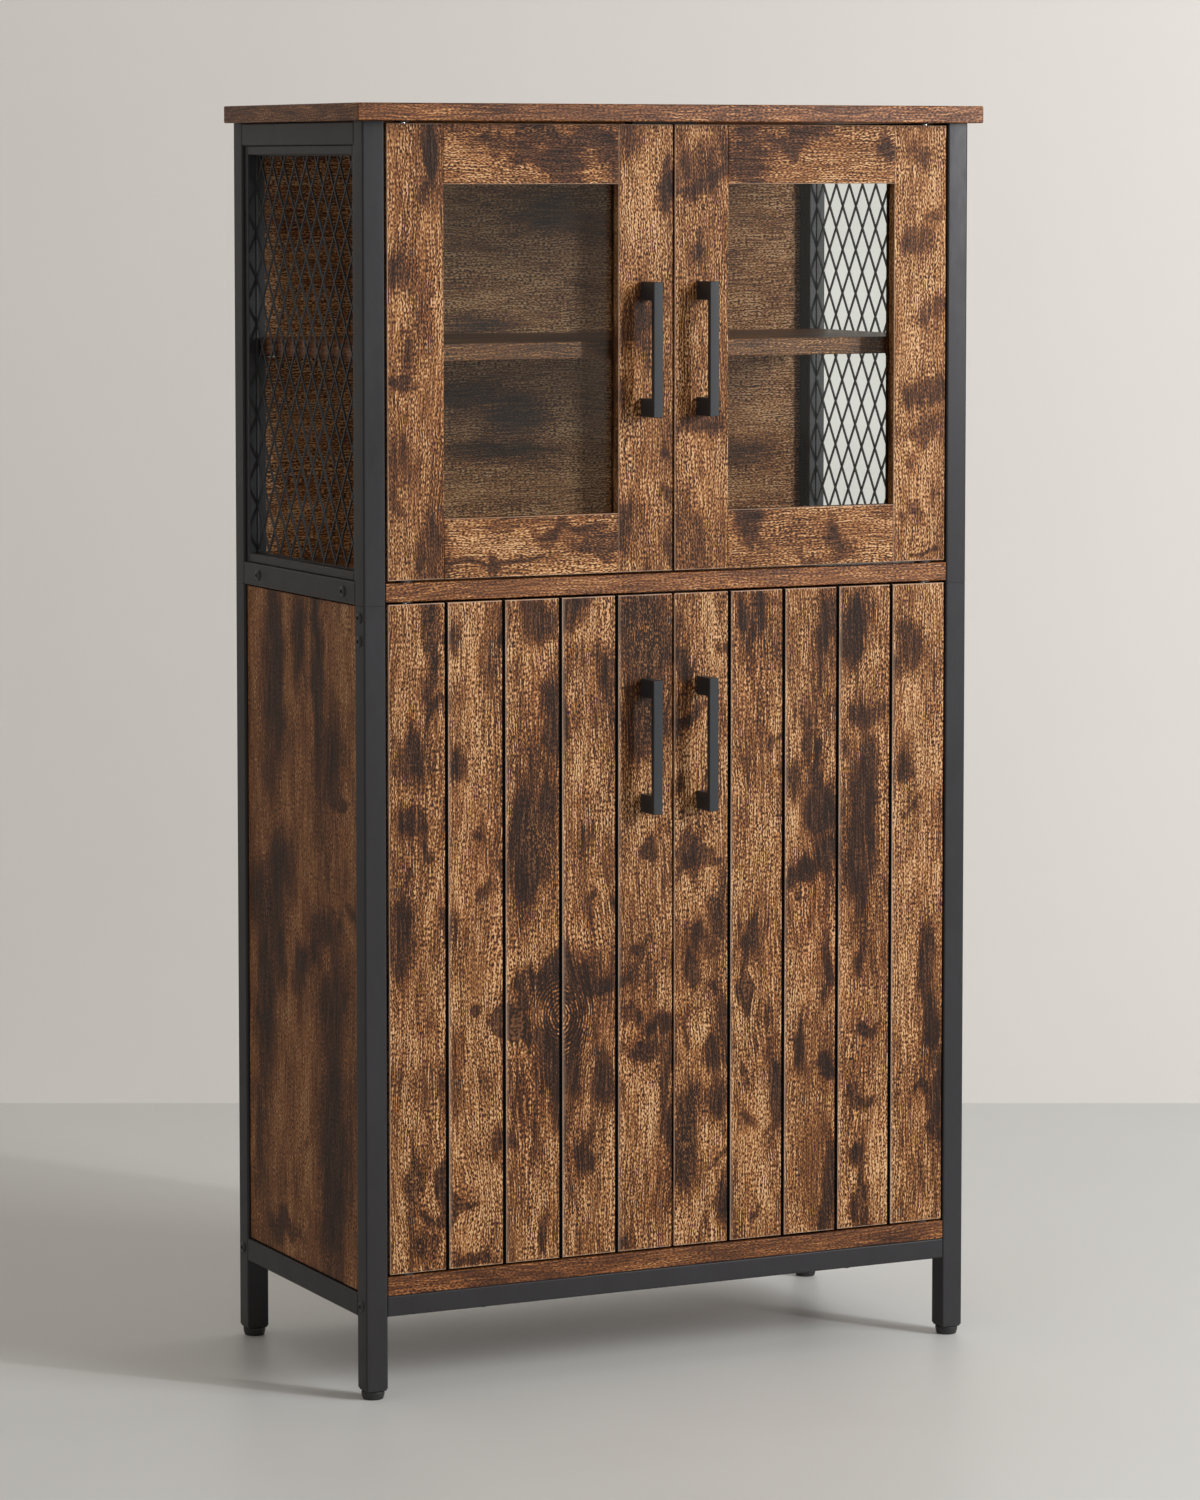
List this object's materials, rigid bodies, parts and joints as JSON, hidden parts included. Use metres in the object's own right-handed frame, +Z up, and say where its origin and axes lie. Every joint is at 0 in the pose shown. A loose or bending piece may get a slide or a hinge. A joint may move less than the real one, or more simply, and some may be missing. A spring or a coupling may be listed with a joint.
{
  "type": "glass-door cabinet",
  "caption": "Tall storage cabinet on a black steel tube frame: glazed doors, mesh sides and a shelf above, grooved plank-look doors below, bar handles and levelling feet.",
  "frame": {"origin": "on the floor, below the middle of the whole object's bounding box (handles included)", "axes": "+X to the right as seen from the front, +Y towards the back, +Z up"},
  "size_m": [0.6, 0.313, 1.1],
  "materials": {
    "board_laminate": "satin printed-wood laminate, grain across the width, smoky blotches",
    "back_laminate": "satin printed-wood laminate, grain across the width",
    "side_laminate": "satin printed-wood laminate, upright grain",
    "door_laminate": "satin printed-wood laminate, grain along each piece, knots and dark blotches",
    "bead_laminate": "matt dark brown",
    "clear_glass": "clear float glass",
    "frame_steel": "fine-textured satin black powder coat",
    "mesh_steel": "satin black powder coat",
    "handle_black": "satin black coat",
    "bolt_black": "black oxide",
    "zinc_steel": "zinc plated",
    "black_plastic": "moulded matt"
  },
  "bodies": {
    "cabinet": {"top_panel": "board_laminate", "middle_panel": "board_laminate", "bottom_panel": "board_laminate", "upper_shelf": "board_laminate", "lower_shelf": "board_laminate", "upper_back_panel": "back_laminate", "lower_back_panel": "back_laminate", "side_panel_left": "side_laminate", "side_panel_right": "side_laminate", "upper_frame_left": "frame_steel", "upper_frame_right": "frame_steel", "lower_frame_left": "frame_steel", "lower_frame_right": "frame_steel", "front_rail": "frame_steel", "rear_rail": "frame_steel", "mesh_frame_left": "frame_steel", "mesh_frame_right": "frame_steel", "mesh_left": "mesh_steel", "mesh_right": "mesh_steel", "post_sleeves": "zinc_steel", "frame_bolts": "bolt_black", "wood_screws": "zinc_steel", "shelf_pins": "zinc_steel", "leg_plugs": "black_plastic", "pivot_bushes": "black_plastic", "magnetic_catches": "black_plastic"},
    "upper_left_door": {"upper_left_outer_stile": "door_laminate", "upper_left_inner_stile": "door_laminate", "upper_left_top_rail": "door_laminate", "upper_left_bottom_rail": "door_laminate", "upper_left_glass": "clear_glass", "upper_left_glass_beads": "bead_laminate", "upper_left_handle": "handle_black", "upper_left_handle_screws": "zinc_steel", "upper_left_pivot_pins": "zinc_steel", "upper_left_strike_plate": "zinc_steel"},
    "upper_right_door": {"upper_right_outer_stile": "door_laminate", "upper_right_inner_stile": "door_laminate", "upper_right_top_rail": "door_laminate", "upper_right_bottom_rail": "door_laminate", "upper_right_glass": "clear_glass", "upper_right_glass_beads": "bead_laminate", "upper_right_handle": "handle_black", "upper_right_handle_screws": "zinc_steel", "upper_right_pivot_pins": "zinc_steel", "upper_right_strike_plate": "zinc_steel"},
    "lower_left_door": {"lower_left_door_panel": "door_laminate", "lower_left_handle": "handle_black", "lower_left_handle_screws": "zinc_steel", "lower_left_pivot_pins": "zinc_steel", "lower_left_strike_plate": "zinc_steel"},
    "lower_right_door": {"lower_right_door_panel": "door_laminate", "lower_right_handle": "handle_black", "lower_right_handle_screws": "zinc_steel", "lower_right_pivot_pins": "zinc_steel", "lower_right_strike_plate": "zinc_steel"},
    "levelling_foot_front_left": {"foot_front_left": "black_plastic"},
    "levelling_foot_front_right": {"foot_front_right": "black_plastic"},
    "levelling_foot_rear_left": {"foot_rear_left": "black_plastic"},
    "levelling_foot_rear_right": {"foot_rear_right": "black_plastic"}
  },
  "joints": [
    {"name": "upper_left_door_pivot", "type": "hinge", "parent": "cabinet", "child": "upper_left_door", "pos_m": [-0.251, -0.124, 0.891], "axis": [0, 0, -1], "range_deg": [0, 115]},
    {"name": "upper_right_door_pivot", "type": "hinge", "parent": "cabinet", "child": "upper_right_door", "pos_m": [0.251, -0.124, 0.891], "axis": [0, 0, 1], "range_deg": [0, 115]},
    {"name": "lower_left_door_pivot", "type": "hinge", "parent": "cabinet", "child": "lower_left_door", "pos_m": [-0.251, -0.124, 0.393], "axis": [0, 0, -1], "range_deg": [0, 115]},
    {"name": "lower_right_door_pivot", "type": "hinge", "parent": "cabinet", "child": "lower_right_door", "pos_m": [0.251, -0.124, 0.393], "axis": [0, 0, 1], "range_deg": [0, 115]},
    {"name": "foot_front_left_screw", "type": "slide", "parent": "cabinet", "child": "levelling_foot_front_left", "axis": [0, 0, -1], "range_m": [0, 0.008]},
    {"name": "foot_front_right_screw", "type": "slide", "parent": "cabinet", "child": "levelling_foot_front_right", "axis": [0, 0, -1], "range_m": [0, 0.008]},
    {"name": "foot_rear_left_screw", "type": "slide", "parent": "cabinet", "child": "levelling_foot_rear_left", "axis": [0, 0, -1], "range_m": [0, 0.008]},
    {"name": "foot_rear_right_screw", "type": "slide", "parent": "cabinet", "child": "levelling_foot_rear_right", "axis": [0, 0, -1], "range_m": [0, 0.008]}
  ]
}
